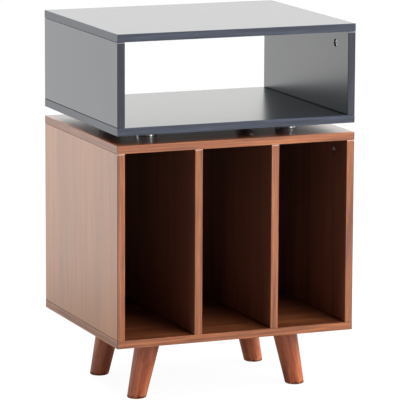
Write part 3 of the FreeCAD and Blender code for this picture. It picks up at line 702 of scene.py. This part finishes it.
def add_camera():
    """The camera, at the photograph's place and angle."""
    data = bpy.data.cameras.new("camera")
    data.lens = CAMERA_LENS_MM
    data.sensor_width = CAMERA_SENSOR_MM
    data.clip_end = CAMERA_SIGHT
    camera = bpy.data.objects.new("camera", data)
    camera.matrix_world = (Matrix.Translation(CAMERA_PLACE) @ Matrix.Rotation(-CAMERA_YAW, 4, "Z")
                           @ Matrix.Rotation(math.pi / 2 + CAMERA_PITCH, 4, "X")
                           @ Matrix.Rotation(CAMERA_ROLL, 4, "Z"))
    bpy.context.scene.collection.objects.link(camera)
    bpy.context.scene.camera = camera


def add_lamp(name, azimuth, elevation, size, level, aim, mirrored):
    """A soft rectangular lamp, aimed at a height over the stand's middle."""
    turn = math.radians(azimuth)
    rise = math.radians(elevation)
    direction = Vector((math.sin(turn) * math.cos(rise), -math.cos(turn) * math.cos(rise), math.sin(rise)))
    data = bpy.data.lights.new(name, "AREA")
    data.shape = "RECTANGLE"
    data.size, data.size_y = size
    data.energy = level * math.pi ** 2 * LAMP_DISTANCE ** 2
    lamp = bpy.data.objects.new(name, data)
    lamp.location = Vector((0, 0, aim)) + direction * LAMP_DISTANCE
    lamp.rotation_euler = direction.to_track_quat("Z", "Y").to_euler()
    lamp.visible_glossy = mirrored
    bpy.context.scene.collection.objects.link(lamp)


def glance_share(tree, rays):
    """One up to a ray's first mirror-like bounce, and less from the second on.

    A glossy face polarises what it mirrors, and a second one at right angles to it mirrors less of that. The
    glossy depth is 1 after the first such bounce and 2 after the second.
    """
    again = add(tree, "ShaderNodeMath", {0: rays["Glossy Depth"], 1: BETWEEN_GLANCES},
                operation="GREATER_THAN").outputs[0]
    return add(tree, "ShaderNodeMix", {0: again, NUMBER_A: 1.0, NUMBER_B: SECOND_GLANCE_SHARE}).outputs[0]


def light_room():
    """A white backdrop behind, a lighter side at the right and a dim room elsewhere, by a ray's direction.

    The light is cooler from the left and warmer from the right. The right side is brighter still in
    reflections. The camera sees plain white.
    """
    world = bpy.data.worlds.new("studio")
    world.use_nodes = True
    bpy.context.scene.world = world
    tree = world.node_tree
    background = tree.nodes["Background"]
    direction = add(tree, "ShaderNodeTexCoord").outputs["Generated"]
    towards = add(tree, "ShaderNodeSeparateXYZ", {0: direction}).outputs
    rays = add(tree, "ShaderNodeLightPath").outputs

    across = add(tree, "ShaderNodeMapRange",
                 {"Value": towards["X"], "From Min": COOL_TO_WARM[0], "From Max": COOL_TO_WARM[1]}).outputs[0]
    tint = ramp(tree, across, [(0.0, COOL_WHITE), (0.5, WHITE), (1.0, WARM_WHITE)])
    colour = blend_colours(tree, rays["Is Camera Ray"], tint, WHITE)
    tree.links.new(colour, background.inputs["Color"])

    right = add(tree, "ShaderNodeMix",
                {0: rays["Is Glossy Ray"], NUMBER_A: RIGHT_LEVEL, NUMBER_B: RIGHT_MIRRORED_LEVEL}).outputs[0]
    front = add(tree, "ShaderNodeMapRange",
                {"Value": towards["X"], "From Min": FRONT_TO_RIGHT[0], "From Max": FRONT_TO_RIGHT[1],
                 "To Min": FRONT_LEVEL, "To Max": right}, interpolation_type="SMOOTHSTEP").outputs[0]
    level = add(tree, "ShaderNodeMapRange",
                {"Value": towards["Y"], "From Min": FRONT_TO_BACK[0], "From Max": FRONT_TO_BACK[1],
                 "To Min": front, "To Max": BACKDROP_LEVEL}, interpolation_type="SMOOTHSTEP").outputs[0]
    inputs = {0: level, 1: glance_share(tree, rays)}
    dimmed = add(tree, "ShaderNodeMath", inputs, operation="MULTIPLY").outputs[0]
    seen = add(tree, "ShaderNodeMix",
               {0: rays["Is Camera Ray"], NUMBER_A: dimmed, NUMBER_B: 1.0}).outputs[0]
    tree.links.new(seen, background.inputs["Strength"])


def add_floor():
    """A pale floor, white to the camera with a faint shadow of the stand.

    In reflections it is painted darker close to the stand, as a painted shadow of the stand, and fades to
    white further out, and for light that bounces off it onto the stand it is part dulled everywhere.
    """
    half = FLOOR_SIZE / 2
    corners = [(-half, -half, 0), (half, -half, 0), (half, half, 0), (-half, half, 0)]
    mesh = bpy.data.meshes.new("floor")
    mesh.from_pydata(corners, [], [(0, 1, 2, 3)])
    floor = bpy.data.objects.new("floor", mesh)
    bpy.context.scene.collection.objects.link(floor)
    material = bpy.data.materials.new("pale_floor")
    material.use_nodes = True
    tree = material.node_tree
    tree.nodes.clear()
    rays = add(tree, "ShaderNodeLightPath").outputs
    place = add(tree, "ShaderNodeTexCoord").outputs["Object"]
    away = add(tree, "ShaderNodeVectorMath", {0: place}, operation="LENGTH").outputs["Value"]

    inputs = {0: rays["Is Camera Ray"], NUMBER_A: glance_share(tree, rays), NUMBER_B: FLOOR_WHITE}
    level = add(tree, "ShaderNodeMix", inputs).outputs[0]
    white = add(tree, "ShaderNodeEmission", {"Color": linear(WHITE), "Strength": level}).outputs[0]

    # Painted shadow: close to the stand, reflections of the floor take the darker shade
    close = add(tree, "ShaderNodeMapRange",
                {"Value": away, "From Min": FLOOR_SHADED_REACH[0], "From Max": FLOOR_SHADED_REACH[1],
                 "To Min": 1.0, "To Max": 0.0}, interpolation_type="SMOOTHSTEP").outputs[0]
    inputs = {0: close, 1: rays["Is Glossy Ray"]}
    close = add(tree, "ShaderNodeMath", inputs, operation="MULTIPLY").outputs[0]
    inputs = {0: rays["Is Diffuse Ray"], 1: FLOOR_BOUNCE_LOSS, 2: close}
    dull = add(tree, "ShaderNodeMath", inputs, operation="MULTIPLY_ADD").outputs[0]
    shade = blend_colours(tree, dull, FLOOR_SHADE, FLOOR_DULL_SHADE)
    lit = add(tree, "ShaderNodeBsdfDiffuse", {"Color": shade}).outputs[0]

    far = add(tree, "ShaderNodeMapRange",
              {"Value": away, "From Min": FLOOR_MIRRORED_REACH[0], "From Max": FLOOR_MIRRORED_REACH[1],
               "To Min": 0.0, "To Max": FLOOR_MIRRORED_SHARE}, interpolation_type="SMOOTHSTEP").outputs[0]
    inputs = {0: rays["Is Glossy Ray"], 1: far}
    mirrored = add(tree, "ShaderNodeMath", inputs, operation="MULTIPLY").outputs[0]
    share = add(tree, "ShaderNodeMix",
                {0: rays["Is Camera Ray"], NUMBER_A: mirrored, NUMBER_B: FLOOR_SEEN_SHARE}).outputs[0]
    mixed = add(tree, "ShaderNodeMixShader", {0: share, 1: lit, 2: white}).outputs[0]
    add(tree, "ShaderNodeOutputMaterial", {"Surface": mixed})
    mesh.materials.append(material)


dress_boards()
dress_edging()
dress_fasteners()
make_turned_pieces()

add_camera()
light_room()
add_floor()
for name, lamp in LAMPS.items():
    add_lamp(name, **lamp)

scene = bpy.context.scene
scene.view_settings.view_transform = "Standard"
